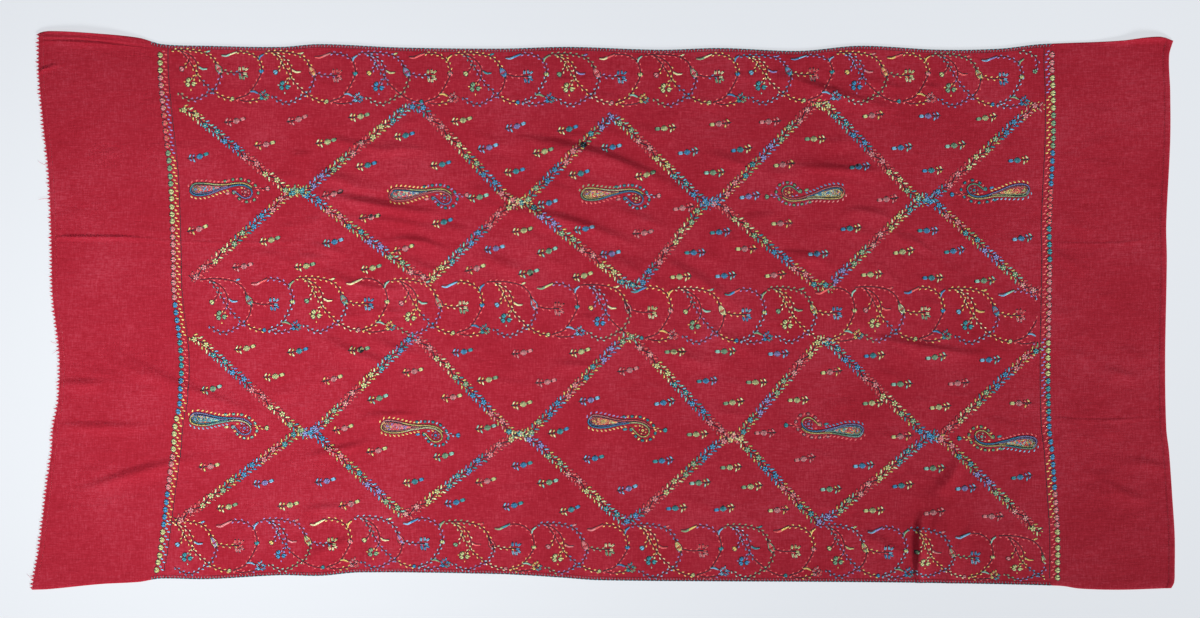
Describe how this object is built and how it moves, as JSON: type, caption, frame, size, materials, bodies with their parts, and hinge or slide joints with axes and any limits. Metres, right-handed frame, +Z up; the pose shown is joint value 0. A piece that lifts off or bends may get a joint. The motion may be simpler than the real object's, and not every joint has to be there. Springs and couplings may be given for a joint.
{
  "type": "embroidered wool shawl",
  "caption": "Long rectangular wool shawl laid flat, with soft folds, one frayed end, one hemmed end and overcast long edges.",
  "frame": {"origin": "middle of the laid shawl's footprint, on the surface that it lies on", "axes": "+X along the shawl from the frayed end to the hemmed end, +Y across it, +Z up from the surface through the embroidered side"},
  "size_m": [2.0307, 0.9876, 0.0129],
  "materials": {
    "wool_cloth": "fine plain-woven wool with a soft nap",
    "wool_fringe": "frayed wool yarn ends",
    "edging_thread": "overcast stitches in dark slate and teal thread",
    "embroidery_thread": "fine satin, stem and seed stitches in yellow, teal, blue, violet, coral, pink and green thread"
  },
  "bodies": {
    "root": {"cloth": "wool_cloth", "fringe_left": "wool_fringe", "edging_front": "edging_thread", "edging_back": "edging_thread"}
  },
  "joints": []
}
